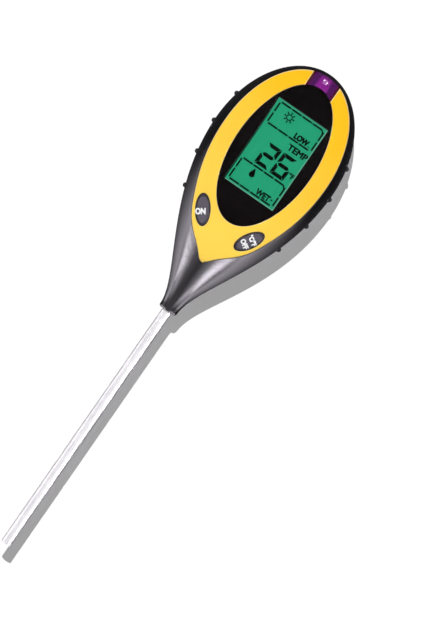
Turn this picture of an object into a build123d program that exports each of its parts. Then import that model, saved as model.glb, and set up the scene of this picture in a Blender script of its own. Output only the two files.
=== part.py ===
from build123d import *
import os
from math import asin, degrees, radians, sin, sqrt, tan

# A soil tester lying on its back with the display up: X across, Y from the probe's tip to the top of
# the head, Z up from the surface it rests on. All sizes are in millimetres. A station is a distance
# along the head from where its neck begins to flare.

# Head outline, turned about the axis of the probe
neck_radius = 4.3
neck_handle = 14.25
neck_lead = 1.25
neck_round = 1.0
max_radius = 30.0
widest_station = 79.0
widest_handle = 38.0
cap_length = 42.3

# Face of the head: flat, bent down to the tail and, on a larger radius, to the top
face_height = 14.15
tail_bend_station = 28.0
tail_radius = 13.0
tail_sweep = 20.0
top_bend_station = 76.0
top_radius = 130.0

# Walls of the two case shells
wall = 2.0
deck = 1.6
parting_groove = 0.35
lip = 0.3
overrun = 5.0

# Bezel, window and sensor window on the face
bezel_thickness = 2.0
tail_rim = 0.42
tail_blunt = 1.0
tail_spread = 0.82
tail_flare = 0.027
tail_blend = 24
bezel_edge = 0.35
window_edge = 0.25
trim_gap = 0.2
seat_gap = 0.05
window_offset = 0.25
ring_width = 7.8
window_top_band = 7.5
window_recess = 0.4
mask_thickness = 0.2
sensor_window_width = 13.1
sensor_offset = 3.4
sensor_clear = 0.7

# Keys
key_drop = 1.8
key_rim = 5.26
key_tilt = 32.0
key_hole_length = 14.2
key_hole_width = 6.6
key_gap = 0.35
key_proud = 0.6
key_edge = 0.5
key_flange = 0.9
key_flange_thickness = 0.9
key_travel = 0.8
key_post_radius = 2.0
key_post_length = 1.2
flange_gap = 0.15
dome_wall = 0.6
dome_base_radius = 4.2
pill_radius = 1.4

# Display and board stack
display_offset = 0.95
mask_margin = 1.48
display_length = 41.9
lcd_border = 1.9
lcd_thickness = 2.4
lcd_gap = 0.4
strip_height = 1.7
strip_width = 2.0
backlight_inset = 3.0
holder_wall = 1.4
holder_gap = 0.15
holder_height = 2.2
holder_clear = 0.9
board_thickness = 1.6
board_gap = 0.8
board_start = 36.0
board_margin = 4.0
solder_room = 0.2
chip_size = 9.0
chip_thickness = 1.4
chip_clear = 1.9
chip_mark_radius = 0.5
chip_mark_depth = 0.2
chip_mark_offset = 3.2
capacitor_radius = 1.8
capacitor_height = 3.2
capacitor_station = 73.0
resistor_count = 3
resistor_length = 3.0
resistor_width = 1.6
resistor_height = 0.7
resistor_pitch = 3.0
resistor_station = 92.0

# Battery, its bay and its door
battery_width = 26.5
battery_length = 45.5
battery_thickness = 17.5
battery_edge = 1.6
terminal_height = 3.0
terminal_radius = 2.9
terminal_pitch = 12.7
snap_thickness = 3.9
snap_height = 11.0
snap_width = 25.0
bay_gap = 0.4
bay_wall = 1.2
bay_start = 52.0
ceiling = 1.2
door_recess = 0.2
door_thickness = 1.8
door_gap = 0.2
door_overlap = 1.5
door_margin = 0.65
tongue_width = 0.8
tongue_thickness = 0.8
rail = 1.2
cushion = 0.6
grip_count = 4
grip_pitch = 2.6
grip_length = 13.0
grip_width = 1.1
grip_depth = 0.5

# Mode switch in the back
switch_station = 40.0
switch_travel = 4.0
pocket_length = 14.0
pocket_width = 7.0
pocket_depth = 1.7
switch_pad = 1.6
knob_length = 3.6
knob_width = 4.4
knob_height = 1.1
knob_recess = 0.4
stem_length = 2.2
stem_width = 1.8
slide_gap = 0.3
switch_wall = 1.0
switch_height = 4.2

# Probe
probe_reach = 122.3
probe_radius = 2.35
probe_wall = 0.4
probe_insertion = 17.0
shoulder_radius = 2.15
shoulder_gap = 0.4
tip_length = 12.0
core_step = 2.0
electrode_radius = 1.1
bead_length = 5.0
fit_gap = 0.05
neck_gap = 0.15
collar_radius = 3.5
collar_start = 4.0
collar_length = 15.0
collar_flange_radius = 5.0
collar_flange_start = 12.0
collar_flange_thickness = 2.5
cavity_start = 21.5

# Screws, grip ribs and leads
boss_radius = 3.25
screw_radius = 1.3
screw_length = 12.0
screw_head_radius = 2.6
screw_head_height = 1.8
screw_grip = 6.0
screw_gap = 0.25
cross_length = 3.0
cross_width = 0.7
cross_depth = 0.9
low_screw_spread = 9.5
low_screw_station = 31.0
high_screw_station = 84.0
boss_clear = 1.4
standoff_radius = 2.2
board_screw_radius = 0.9
board_screw_length = 4.0
board_screw_head_radius = 1.8
board_screw_head_height = 1.0
side_standoff_station = 62.0
top_standoff_spread = 12.5
rib_radius = 1.15
rib_sink = 0.1
rib_start_station = 47.4
rib_pitch = 14.9
rib_count = 4
rib_arc = 28.0
lead_radius = 0.55
lead_bend = 2.2
lead_reach = 4.5
probe_lead_radius = 0.35
sensor_radius = 1.5
sensor_body = 2.2
sensor_rim = 0.3
sensor_leg_radius = 0.25
sensor_leg_bend = 0.8
sensor_leg_reach = 6.1


def face_drop(station, depth=0.0):
    # how far the face has bent down towards the top of the head at a station
    radius = top_radius - depth
    return radius - sqrt(radius**2 - max(0.0, station - top_bend_station) ** 2)


def outline_radius(station, inset=0.0):
    # radius of the turned head, moved in by inset, at a station
    if station > widest_station:
        share = min(1.0, (station - widest_station) / (cap_length - inset))
        return (max_radius - inset) * sqrt(1 - share**2)
    low, high = 0.0, 1.0
    for _ in range(40):
        t = (low + high) / 2
        reach = 3 * (1 - t) ** 2 * t * neck_handle + t**3 * widest_station
        reach += 3 * (1 - t) * t**2 * (widest_station - widest_handle)
        low, high = (t, high) if reach < station else (low, t)
    return neck_radius * (1 - t) ** 2 * (1 + 2 * t) + max_radius * t**2 * (3 - 2 * t) - inset


def face_level(station):
    # height of the face above the probe's axis at a station
    run = max(0.0, tail_bend_station - station)
    arc = min(run, tail_radius * sin(radians(tail_sweep)))
    drop = tail_radius - sqrt(tail_radius**2 - arc**2) + (run - arc) * tan(radians(tail_sweep))
    return face_height - drop - face_drop(station)


def rim_half_width(station):
    # half the width of the face at a station, inside the rim that the case leaves round it
    return sqrt(max(0.0, outline_radius(station, lip) ** 2 - face_level(station) ** 2))


def face_limit(inner, outer):
    # station where the face runs out, between one on the face and one beyond it
    for _ in range(40):
        middle = (inner + outer) / 2
        inner, outer = (middle, outer) if rim_half_width(middle) > 0 else (inner, middle)
    return inner


def face_half_width(station):
    # half the width of the bezel at a station: a flared tail that runs smoothly into the case's rim
    run = station - tail_station
    tail = tail_blunt + tail_spread * run + tail_flare * run**2
    return (tail**-tail_blend + rim_half_width(station) ** -tail_blend) ** (-1 / tail_blend)


# Places along the head that follow from its outline
head_length = widest_station + cap_length
face_end = face_limit(widest_station, head_length)
tail_station = face_limit(widest_station, tail_bend_station / 2) + tail_rim
neck_y = (probe_reach - head_length) / 2
window_station = widest_station + window_offset
window_half_length = cap_length - window_offset - window_top_band
window_half_width = face_half_width(window_station) - ring_width
key_station = window_station - window_half_length - key_drop
key_spread = face_half_width(key_station) - key_rim
display_station = window_station + display_offset
display_corner = (display_offset + display_length / 2) / window_half_length
display_width = 2 * (window_half_width * sqrt(1 - display_corner**2) - mask_margin)
lcd_width = display_width + 2 * lcd_border
lcd_length = display_length + 2 * lcd_border
lcd_start = display_station - lcd_length / 2
lcd_end = display_station + lcd_length / 2
holder_rim = holder_gap + holder_wall
side_standoff_spread = lcd_width / 2 + holder_rim + holder_clear + standoff_radius
high_screw_spread = lcd_width / 2 + holder_rim + boss_clear + boss_radius
top_standoff_station = lcd_end + holder_rim + holder_clear + standoff_radius
board_end = top_standoff_station + board_margin
chip_station = lcd_start - holder_rim - chip_clear - chip_size / 2

# Heights that follow from the stack of door, battery, board and display
door_top = door_recess + door_thickness
battery_bottom = door_top + door_gap
battery_top = battery_bottom + battery_thickness
ceiling_bottom = battery_top + cushion
ceiling_top = ceiling_bottom + ceiling
board_bottom = ceiling_top + board_screw_head_height + solder_room
board_top = board_bottom + board_thickness
lcd_bottom = board_top + strip_height
lcd_top = lcd_bottom + lcd_thickness
seat_depth = bezel_thickness + seat_gap
face_z = lcd_top + lcd_gap + seat_depth + face_drop(lcd_end, seat_depth)
axis_height = face_z - face_height
under_deck = seat_depth + deck
deck_bottom = face_z - under_deck
window_thickness = bezel_thickness - window_recess - mask_thickness
screw_seat = axis_height - screw_grip

head_plane = Plane((0, neck_y, axis_height))
side_plane = Plane((0, neck_y, axis_height), x_dir=(0, 1, 0), z_dir=(1, 0, 0))
head_axis = Axis((0, neck_y, axis_height), (0, 1, 0))
upright = (Align.CENTER, Align.CENTER, Align.MIN)
above = 2 * max_radius
quarter_handle = 0.5523  # handle of the curve that draws a quarter of an ellipse
outline_steps = 8  # points along each half of the curve round the face


def at(x, station, z):
    return (x, neck_y + station, z)


def block(width, start, end, bottom, top, mode=Mode.ADD):
    # a box centred across the head, between two stations and two heights
    with Locations(at(0, (start + end) / 2, (bottom + top) / 2)):
        Box(width, end - start, top - bottom, mode=mode)


def rod(radius, start, end, mode=Mode.ADD):
    # a bar along the probe's axis, between two stations
    with Locations(at(0, (start + end) / 2, axis_height)):
        Cylinder(radius, end - start, rotation=(90, 0, 0), mode=mode)


def turned(inset):
    # the head's body of revolution, moved in by inset
    with BuildPart() as body:
        with BuildSketch(head_plane):
            with BuildLine():
                flank = Bezier(
                    (neck_radius - inset, 0),
                    (neck_radius - inset, neck_handle),
                    (max_radius - inset, widest_station - widest_handle),
                    (max_radius - inset, widest_station),
                )
                cap = Bezier(
                    (max_radius - inset, widest_station),
                    (max_radius - inset, widest_station + quarter_handle * (cap_length - inset)),
                    (quarter_handle * (max_radius - inset), head_length - inset),
                    (0, head_length - inset),
                )
                Polyline(cap @ 1, (0, -neck_lead), (neck_radius - inset, -neck_lead), flank @ 0)
            make_face()
        revolve(axis=head_axis)
    return body.part


def under_face(depth):
    # all that lies below the face, moved in by depth
    level = face_height - depth
    sweep = degrees(asin((head_length + overrun - top_bend_station) / (top_radius - depth)))
    low = -2 * max_radius
    with BuildPart() as space:
        with BuildSketch(side_plane):
            with BuildLine():
                flat = Line((tail_bend_station, level), (top_bend_station, level))
                tail = JernArc(flat @ 0, (-1, 0), tail_radius - depth, tail_sweep)
                run = Line(tail @ 1, tail @ 1 + (tail % 1) * tail_bend_station)
                top = JernArc(flat @ 1, (1, 0), top_radius - depth, -sweep)
                start = run @ 1
                end = top @ 1
                Polyline(start, (start.X, low), (end.X, low), end)
            make_face()
        extrude(amount=max_radius + overrun, both=True)
    return space.part


def inside(inset, depth):
    # the turned head moved in by inset, below the face moved in by depth
    body = turned(inset)
    space = under_face(depth)
    with BuildPart() as solid:
        add(body)
        add(space, mode=Mode.INTERSECT)
    return solid.part


def face_prism(gap):
    # the outline of the face, moved towards its middle by gap, through the whole head
    steps = [step / outline_steps for step in range(1, outline_steps)]
    stations = [tail_station + (widest_station - tail_station) * step**2 for step in steps]
    stations.append(widest_station)
    stations += [face_end + (widest_station - face_end) * step**2 for step in reversed(steps)]
    outline = [(0, tail_station)] + [(face_half_width(station), station) for station in stations]
    outline.append((0, face_end))
    points = []
    for x, station in outline:
        run = station - widest_station
        share = 1 - gap / sqrt(x**2 + run**2)
        points.append((x * share, neck_y + widest_station + run * share))
    with BuildPart() as prism:
        with BuildSketch(Plane.XY):
            with BuildLine():
                Spline(points, tangents=((1, 0), (-1, 0)), tangent_scalars=(1, 1))
                mirror(about=Plane.YZ)
            make_face()
        extrude(amount=above)
    return prism.part


def face_layer(outline, upper, lower):
    # what an upright outline holds between two depths under the face
    space = under_face(upper)
    bottom = under_face(lower)
    with BuildPart() as layer:
        add(outline)
        add(space, mode=Mode.INTERSECT)
        add(bottom, mode=Mode.SUBTRACT)
    return layer.part


def rim_edges(builder):
    # edges round the upper side of a piece of the face, without the joins across it
    upper = builder.faces().filter_by(lambda face: face.normal_at().Z > 0.5)
    return upper.edges().filter_by(Axis.X, reverse=True)


def window_prism(gap):
    # the window's ellipse, smaller by gap, through the whole head
    with BuildPart() as prism:
        with BuildSketch(Plane.XY):
            with Locations((0, neck_y + window_station)):
                Ellipse(window_half_width - gap, window_half_length - gap)
        extrude(amount=above)
    return prism.part


def key_prism(side, gap, bottom, top, edge=0.0):
    # one key's leaning ellipse, smaller by gap, between two heights
    with BuildPart() as prism:
        with BuildSketch(Plane.XY.offset(bottom)):
            with Locations((side * key_spread, neck_y + key_station)):
                Ellipse(key_hole_width / 2 - gap, key_hole_length / 2 - gap, rotation=-side * key_tilt)
        extrude(amount=top - bottom)
        if edge:
            fillet(prism.edges().group_by(Axis.Z)[-1], edge)
    return prism.part


def post(x, station, radius, bottom, top, mode=Mode.ADD):
    # an upright cylinder
    with Locations(at(x, station, bottom)):
        Cylinder(radius, top - bottom, align=upright, mode=mode)


def wire(points, radius, bend):
    # a lead along straight runs joined by arcs
    start = Vector(points[0])
    with BuildPart() as lead:
        with BuildLine() as route:
            FilletPolyline(*points, radius=bend)
        with BuildSketch(Plane(start, z_dir=Vector(points[1]) - start)):
            Circle(radius)
        sweep(path=route.wires()[0])
    return lead.part


def finish(builder, name):
    builder.part.label = name
    export_step(builder.part, f"parts/{name}.step")


os.makedirs("parts", exist_ok=True)

sides = (-1, 1)
low_screws = [(side * low_screw_spread, low_screw_station) for side in sides]
high_screws = [(side * high_screw_spread, high_screw_station) for side in sides]
case_screw_places = low_screws + high_screws
standoff_places = [(side * side_standoff_spread, side_standoff_station) for side in sides]
standoff_places += [(side * top_standoff_spread, top_standoff_station) for side in sides]
bay_end = bay_start + battery_length + snap_thickness + 2 * bay_gap
bay_half = battery_width / 2 + bay_gap
door_half = bay_half + door_margin
door_start = bay_start - door_overlap
tongue_bottom = door_top - tongue_thickness
lead_height = battery_bottom + battery_thickness / 2
pad_top = pocket_depth + switch_pad
chip_top = board_top + chip_thickness
capacitor_top = board_top + capacitor_height
collar_end = collar_start + collar_length
collar_flange_end = collar_flange_start + collar_flange_thickness
sensor_station = window_station + window_half_length + sensor_offset
tip_station = -probe_reach
snap_start = bay_start + bay_gap
battery_start = snap_start + snap_thickness

outer_body = turned(0)
inner_body = inside(wall, under_deck)
post_space = inside(wall / 2, seat_depth + deck / 2)
groove_core = turned(parting_groove)
bezel_pocket = face_prism(-trim_gap)
pocket_floor = under_face(seat_depth)
window_hole = window_prism(0)
key_holes = [key_prism(side, 0, axis_height, above) for side in sides]

with BuildPart() as outer:
    add(outer_body)
    fillet(outer.edges().filter_by(GeomType.CIRCLE).sort_by(Axis.Y)[0], neck_round)
    block(4 * max_radius, -overrun, head_length + overrun, 0, above, mode=Mode.INTERSECT)

with BuildPart() as bezel_recess:
    add(bezel_pocket)
    add(pocket_floor, mode=Mode.SUBTRACT)

with BuildPart() as cavity:
    add(inner_body)
    block(4 * max_radius, cavity_start, head_length, wall, above, mode=Mode.INTERSECT)

with BuildPart() as groove:
    block(4 * max_radius, -overrun, head_length + overrun, axis_height, axis_height + parting_groove)
    add(groove_core, mode=Mode.SUBTRACT)

with BuildPart() as neck_bore:
    rod(shoulder_radius + neck_gap, -overrun, collar_start)
    rod(collar_radius + fit_gap, collar_start, cavity_start)
    rod(collar_flange_radius + fit_gap, collar_flange_start - fit_gap, collar_flange_end + fit_gap)

# Front shell with the deck that carries the bezel, window, keys and board
with BuildPart() as front_posts:
    for x, station in case_screw_places:
        post(x, station, boss_radius, axis_height, above)
    for x, station in standoff_places:
        post(x, station, standoff_radius, board_top, above)
    add(post_space, mode=Mode.INTERSECT)

with BuildPart() as front_case:
    add(outer.part)
    block(4 * max_radius, -overrun, head_length + overrun, axis_height, above, mode=Mode.INTERSECT)
    add(cavity.part, mode=Mode.SUBTRACT)
    add(front_posts.part)
    add(bezel_recess.part, mode=Mode.SUBTRACT)
    for hole in key_holes:
        add(hole, mode=Mode.SUBTRACT)
    add(neck_bore.part, mode=Mode.SUBTRACT)
    add(groove.part, mode=Mode.SUBTRACT)
    block(
        lcd_width + 2 * lcd_gap,
        lcd_start - lcd_gap,
        lcd_end + lcd_gap,
        board_top,
        above,
        mode=Mode.SUBTRACT,
    )
    post(0, sensor_station, sensor_radius + lcd_gap, axis_height, above, mode=Mode.SUBTRACT)
    for x, station in case_screw_places:
        tip = screw_seat + screw_length + lcd_gap
        post(x, station, screw_radius + fit_gap, axis_height, tip, mode=Mode.SUBTRACT)
    for x, station in standoff_places:
        tip = board_bottom + board_screw_length + screw_gap
        post(x, station, board_screw_radius + fit_gap, board_bottom, tip, mode=Mode.SUBTRACT)

# Rear shell with the battery bay, door rails, mode switch pocket and grip ribs
with BuildPart() as grip_ribs:
    for index in range(rib_count):
        station = rib_start_station + index * rib_pitch
        with BuildSketch(head_plane):
            with Locations((outline_radius(station) - rib_sink, station)):
                Circle(rib_radius)
        revolve(axis=head_axis, revolution_arc=rib_arc)
    mirror(about=Plane.YZ)

with BuildPart() as rear_extras:
    block(
        2 * (door_half + tongue_width + door_gap + rail),
        door_start - door_gap - rail,
        head_length,
        0,
        door_top + door_gap + rail,
    )
    block(2 * (bay_half + bay_wall), bay_start - bay_wall, bay_end + bay_wall, 0, ceiling_top)
    block(
        pocket_length + 2 * wall,
        switch_station - pocket_width / 2 - wall,
        switch_station + pocket_width / 2 + wall,
        0,
        pad_top,
    )
    for x, station in case_screw_places:
        post(x, station, boss_radius, 0, axis_height)
    add(post_space, mode=Mode.INTERSECT)

with BuildPart() as rear_case:
    add(outer.part)
    block(4 * max_radius, -overrun, head_length + overrun, 0, axis_height, mode=Mode.INTERSECT)
    add(cavity.part, mode=Mode.SUBTRACT)
    add(rear_extras.part)
    add(grip_ribs.part)
    add(neck_bore.part, mode=Mode.SUBTRACT)
    block(2 * bay_half, bay_start, bay_end, door_top, ceiling_bottom, mode=Mode.SUBTRACT)
    block(
        2 * (door_half + door_gap),
        door_start - door_gap,
        head_length,
        -overrun,
        door_top + door_gap,
        mode=Mode.SUBTRACT,
    )
    block(
        2 * (door_half + tongue_width + door_gap),
        door_start - door_gap,
        head_length,
        tongue_bottom - door_gap,
        door_top + door_gap,
        mode=Mode.SUBTRACT,
    )
    for side in sides:
        with Locations(at(side * terminal_pitch / 4, bay_start, lead_height)):
            Cylinder(lead_radius + slide_gap, 4 * bay_wall, rotation=(90, 0, 0), mode=Mode.SUBTRACT)
    with BuildSketch(Plane.XY):
        with Locations((0, neck_y + switch_station)):
            RectangleRounded(pocket_length, pocket_width, slide_gap + stem_width / 2)
    extrude(amount=pocket_depth, mode=Mode.SUBTRACT)
    block(
        switch_travel + stem_length + 2 * slide_gap,
        switch_station - stem_width / 2 - slide_gap,
        switch_station + stem_width / 2 + slide_gap,
        0,
        pad_top,
        mode=Mode.SUBTRACT,
    )
    for x, station in case_screw_places:
        post(x, station, screw_head_radius + screw_gap, -overrun, screw_seat, mode=Mode.SUBTRACT)
        post(x, station, screw_radius + screw_gap, 0, axis_height, mode=Mode.SUBTRACT)

finish(front_case, "front_case")
finish(rear_case, "rear_case")

# Yellow bezel, clear window, its black mask and the purple sensor window
bezel_outline = face_prism(0)
bezel_body = face_layer(bezel_outline, 0, bezel_thickness)
outer_wall = bezel_outline.faces().filter_by(GeomType.EXTRUSION)[0]
key_web = min(hole.distance_to(piece) for hole in key_holes for piece in (window_hole, outer_wall))
window_plug = window_prism(trim_gap)
window_body = face_layer(window_plug, window_recess, window_recess + window_thickness)
mask_body = face_layer(window_plug, bezel_thickness - mask_thickness, bezel_thickness)

with BuildPart() as face_bezel:
    add(bezel_body)
    add(window_hole, mode=Mode.SUBTRACT)
    for hole in key_holes:
        add(hole, mode=Mode.SUBTRACT)
    hole_rims = [edge for edge in rim_edges(face_bezel) if outer_wall.distance_to(edge) > seat_gap]
    fillet(hole_rims, min(bezel_edge, key_web / 3))
    block(sensor_window_width, window_station, head_length, 0, above, mode=Mode.SUBTRACT)
finish(face_bezel, "face_bezel")

with BuildPart() as display_window:
    add(window_body)
    fillet(rim_edges(display_window), window_edge)
finish(display_window, "display_window")

with BuildPart() as window_mask:
    add(mask_body)
    block(
        display_width,
        display_station - display_length / 2,
        display_station + display_length / 2,
        0,
        above,
        mode=Mode.SUBTRACT,
    )
finish(window_mask, "window_mask")

with BuildPart() as sensor_window:
    add(bezel_body)
    add(window_hole, mode=Mode.SUBTRACT)
    block(
        sensor_window_width - 2 * trim_gap,
        window_station,
        head_length,
        0,
        above,
        mode=Mode.INTERSECT,
    )
finish(sensor_window, "sensor_window")

# Keys on rubber domes
flange_top = deck_bottom - flange_gap
flange_bottom = flange_top - key_flange_thickness
dome_top = flange_bottom - key_post_length

for side, name in ((-1, "on"), (1, "off")):
    cap = key_prism(side, key_gap, flange_top, face_z + key_proud, key_edge)
    flange = key_prism(side, key_gap - key_flange, flange_bottom, flange_top)
    with BuildPart() as key:
        add(cap)
        add(flange)
        post(side * key_spread, key_station, key_post_radius, dome_top, flange_bottom)
    finish(key, f"{name}_key")

    dome_plane = Plane(at(side * key_spread, key_station, board_top), x_dir=(1, 0, 0), z_dir=(0, -1, 0))
    height = dome_top - board_top
    with BuildPart() as dome:
        with BuildSketch(dome_plane):
            with BuildLine():
                Polyline(
                    (dome_base_radius - dome_wall, 0),
                    (dome_base_radius + dome_wall, 0),
                    (dome_base_radius + dome_wall, dome_wall),
                    (dome_base_radius, dome_wall),
                    (key_post_radius + dome_wall, height),
                    (0, height),
                    (0, key_travel),
                    (pill_radius, key_travel),
                    (pill_radius, height - 2 * dome_wall),
                    (key_post_radius, height - 2 * dome_wall),
                    close=True,
                )
            make_face()
        revolve(axis=Axis(dome_plane.origin, (0, 0, 1)))
    finish(dome, f"{name}_dome")

# Display: glass on contact strips and a backlight, held by a frame on the board
with BuildPart() as lcd_glass:
    block(lcd_width, lcd_start, lcd_end, lcd_bottom, lcd_top)
finish(lcd_glass, "lcd_glass")

with BuildPart() as contact_strips:
    block(lcd_width - 2 * strip_width, lcd_start, lcd_start + strip_width, board_top, lcd_bottom)
    block(lcd_width - 2 * strip_width, lcd_end - strip_width, lcd_end, board_top, lcd_bottom)
finish(contact_strips, "contact_strips")

with BuildPart() as lcd_backlight:
    block(
        lcd_width - 2 * strip_width,
        lcd_start + backlight_inset,
        lcd_end - backlight_inset,
        board_top,
        lcd_bottom,
    )
finish(lcd_backlight, "lcd_backlight")

with BuildPart() as lcd_holder:
    block(
        lcd_width + 2 * holder_rim,
        lcd_start - holder_rim,
        lcd_end + holder_rim,
        board_top,
        board_top + holder_height,
    )
    block(
        lcd_width + 2 * holder_gap,
        lcd_start - holder_gap,
        lcd_end + holder_gap,
        board_top,
        board_top + holder_height,
        mode=Mode.SUBTRACT,
    )
finish(lcd_holder, "lcd_holder")

# Circuit board with its chip, small components, screws and the light sensor
board_body = turned(wall + board_gap)

with BuildPart() as circuit_board:
    add(board_body)
    block(4 * max_radius, board_start, board_end, board_bottom, board_top, mode=Mode.INTERSECT)
    for x, station in case_screw_places:
        post(x, station, boss_radius + lcd_gap, board_bottom, board_top, mode=Mode.SUBTRACT)
    for x, station in standoff_places:
        post(x, station, board_screw_radius + fit_gap, board_bottom, board_top, mode=Mode.SUBTRACT)
    notch_radius = sensor_radius + sensor_rim + lcd_gap
    post(0, sensor_station, notch_radius, board_bottom, board_top, mode=Mode.SUBTRACT)
finish(circuit_board, "circuit_board")

with BuildPart() as controller_chip:
    block(chip_size, chip_station - chip_size / 2, chip_station + chip_size / 2, board_top, chip_top)
    with BuildSketch(Plane.XY.offset(chip_top)):
        with Locations((chip_mark_offset, neck_y + chip_station + chip_mark_offset)):
            Circle(chip_mark_radius)
    extrude(amount=-chip_mark_depth, mode=Mode.SUBTRACT)
finish(controller_chip, "controller_chip")

with BuildPart() as board_components:
    for side in sides:
        post(side * side_standoff_spread, capacitor_station, capacitor_radius, board_top, capacitor_top)
        for index in range(resistor_count):
            station = resistor_station + index * resistor_pitch
            with Locations(at(side * side_standoff_spread, station, board_top)):
                Box(resistor_length, resistor_width, resistor_height, align=upright)
finish(board_components, "board_components")

with BuildPart() as board_screws:
    for x, station in standoff_places:
        post(x, station, board_screw_radius, board_bottom, board_bottom + board_screw_length)
        post(x, station, board_screw_head_radius, board_bottom - board_screw_head_height, board_bottom)
finish(board_screws, "board_screws")

sensor_seat = face_z - face_drop(sensor_station) - bezel_thickness
dome_center = sensor_seat - sensor_clear - sensor_radius
sensor_base = dome_center - sensor_body
leg_route = [
    (sensor_station, sensor_base),
    (sensor_station, sensor_base - 2 * sensor_leg_bend),
    (sensor_station - sensor_leg_reach, sensor_base - 2 * sensor_leg_bend),
    (sensor_station - sensor_leg_reach, board_bottom),
]
sensor_legs = []
for side in sides:
    leg_points = [at(side * sensor_radius / 2, *point) for point in leg_route]
    sensor_legs.append(wire(leg_points, sensor_leg_radius, sensor_leg_bend))

with BuildPart() as light_sensor:
    post(0, sensor_station, sensor_radius, sensor_base, dome_center)
    post(0, sensor_station, sensor_radius + sensor_rim, sensor_base, sensor_base + 2 * sensor_rim)
    with Locations(at(0, sensor_station, dome_center)):
        Sphere(sensor_radius)
    for leg in sensor_legs:
        add(leg)
finish(light_sensor, "light_sensor")

# Mode switch: body on the pad inside, knob in the pocket outside, leads up to the board
slot_length = switch_travel + stem_length + 2 * slide_gap
slot_width = stem_width + 2 * slide_gap
switch_top = pad_top + switch_height
knob_x = -switch_travel / 2
knob_top = knob_recess + knob_height

with BuildPart() as mode_switch_body:
    half = slot_width / 2 + switch_wall
    block(slot_length + 2 * switch_wall, switch_station - half, switch_station + half, pad_top, switch_top)
    half = slot_width / 2
    inner_top = switch_top - switch_wall
    block(slot_length, switch_station - half, switch_station + half, pad_top, inner_top, mode=Mode.SUBTRACT)
finish(mode_switch_body, "mode_switch_body")

with BuildPart() as mode_knob:
    with Locations(at(knob_x, switch_station, knob_recess)):
        Box(knob_length, knob_width, knob_height, align=upright)
    for index in range(-1, 2):
        with Locations(at(knob_x + index * knob_length / 4, switch_station, knob_recess)):
            Box(knob_length / 10, knob_width, knob_height / 2, mode=Mode.SUBTRACT)
    with Locations(at(knob_x, switch_station, knob_top)):
        Box(stem_length, stem_width, inner_top - slide_gap - knob_top, align=upright)
finish(mode_knob, "mode_knob")

with BuildPart() as mode_leads:
    for side in sides:
        post(side * slot_length / 3, switch_station, lead_radius, switch_top, board_bottom)
finish(mode_leads, "mode_leads")

# Battery with its snap clip and leads, the cushion above it and the door below it
with BuildPart() as battery:
    block(battery_width, battery_start, battery_start + battery_length, battery_bottom, battery_top)
    fillet(battery.edges().filter_by(Axis.Y), battery_edge)
    for side in sides:
        with Locations(at(side * terminal_pitch / 2, battery_start - terminal_height / 2, lead_height)):
            Cylinder(terminal_radius, terminal_height, rotation=(90, 0, 0))
finish(battery, "battery")

with BuildPart() as battery_snap:
    half = snap_height / 2
    block(snap_width, snap_start, battery_start, lead_height - half, lead_height + half)
    fillet(battery_snap.edges().filter_by(Axis.Y), battery_edge)
    for side in sides:
        with Locations(at(side * terminal_pitch / 2, battery_start - terminal_height / 2, lead_height)):
            Cylinder(terminal_radius + fit_gap, terminal_height, rotation=(90, 0, 0), mode=Mode.SUBTRACT)
finish(battery_snap, "battery_snap")

lead_station = door_start - lead_reach
for side, name in ((-1, "battery_lead_black"), (1, "battery_lead_red")):
    x = side * terminal_pitch / 4
    route = [
        at(x, snap_start, lead_height),
        at(x, lead_station, lead_height),
        at(x, lead_station, board_bottom),
    ]
    lead_part = wire(route, lead_radius, lead_bend)
    with BuildPart() as lead:
        add(lead_part)
    finish(lead, name)

with BuildPart() as battery_pad:
    inset = battery_edge + bay_gap
    block(
        battery_width - 2 * inset,
        battery_start + inset,
        battery_start + battery_length - inset,
        battery_top,
        ceiling_bottom,
    )
finish(battery_pad, "battery_pad")

with BuildPart() as battery_door:
    block(2 * door_half, door_start, head_length, door_recess, door_top)
    block(2 * (door_half + tongue_width), door_start, head_length, tongue_bottom, door_top)
    add(outer_body, mode=Mode.INTERSECT)
    for index in range(grip_count):
        station = bay_end - index * grip_pitch
        block(
            grip_length,
            station - grip_width / 2,
            station + grip_width / 2,
            0,
            door_recess + grip_depth,
            mode=Mode.SUBTRACT,
        )
finish(battery_door, "battery_door")

# Case screws, with a cross recess in each head
with BuildPart() as case_screws:
    for x, station in case_screw_places:
        head_bottom = screw_seat - screw_head_height
        post(x, station, screw_head_radius, head_bottom, screw_seat)
        post(x, station, screw_radius, screw_seat, screw_seat + screw_length)
        with Locations(at(x, station, head_bottom)):
            Box(cross_length, cross_width, cross_depth, align=upright, mode=Mode.SUBTRACT)
            Box(cross_width, cross_length, cross_depth, align=upright, mode=Mode.SUBTRACT)
finish(case_screws, "case_screws")

# Probe: tube, tip core in its sleeve, temperature bead, collar in the neck and leads to the board
bore_radius = shoulder_radius - probe_wall
core_end = tip_station + tip_length + core_step
bead_end = core_end + bead_length

shoulder_station = -neck_lead - shoulder_gap

with BuildPart() as probe_tube:
    rod(probe_radius, tip_station, shoulder_station)
    rod(shoulder_radius, shoulder_station, probe_insertion)
    rod(bore_radius, tip_station, probe_insertion, mode=Mode.SUBTRACT)
finish(probe_tube, "probe_tube")

with BuildPart() as tip_insulator:
    rod(bore_radius - fit_gap, tip_station, tip_station + tip_length)
    rod(electrode_radius + fit_gap, tip_station, tip_station + tip_length, mode=Mode.SUBTRACT)
finish(tip_insulator, "tip_insulator")

with BuildPart() as tip_electrode:
    rod(electrode_radius, tip_station, core_end)
finish(tip_electrode, "tip_electrode")

with BuildPart() as thermistor:
    rod(electrode_radius, core_end, bead_end)
    fillet(thermistor.edges().sort_by(Axis.Y)[-1], electrode_radius / 3)
finish(thermistor, "thermistor")

with BuildPart() as probe_collar:
    rod(collar_radius, collar_start + fit_gap, collar_end)
    rod(collar_flange_radius, collar_flange_start, collar_flange_end)
    rod(shoulder_radius + fit_gap, collar_start, collar_end, mode=Mode.SUBTRACT)
finish(probe_collar, "probe_collar")

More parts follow.
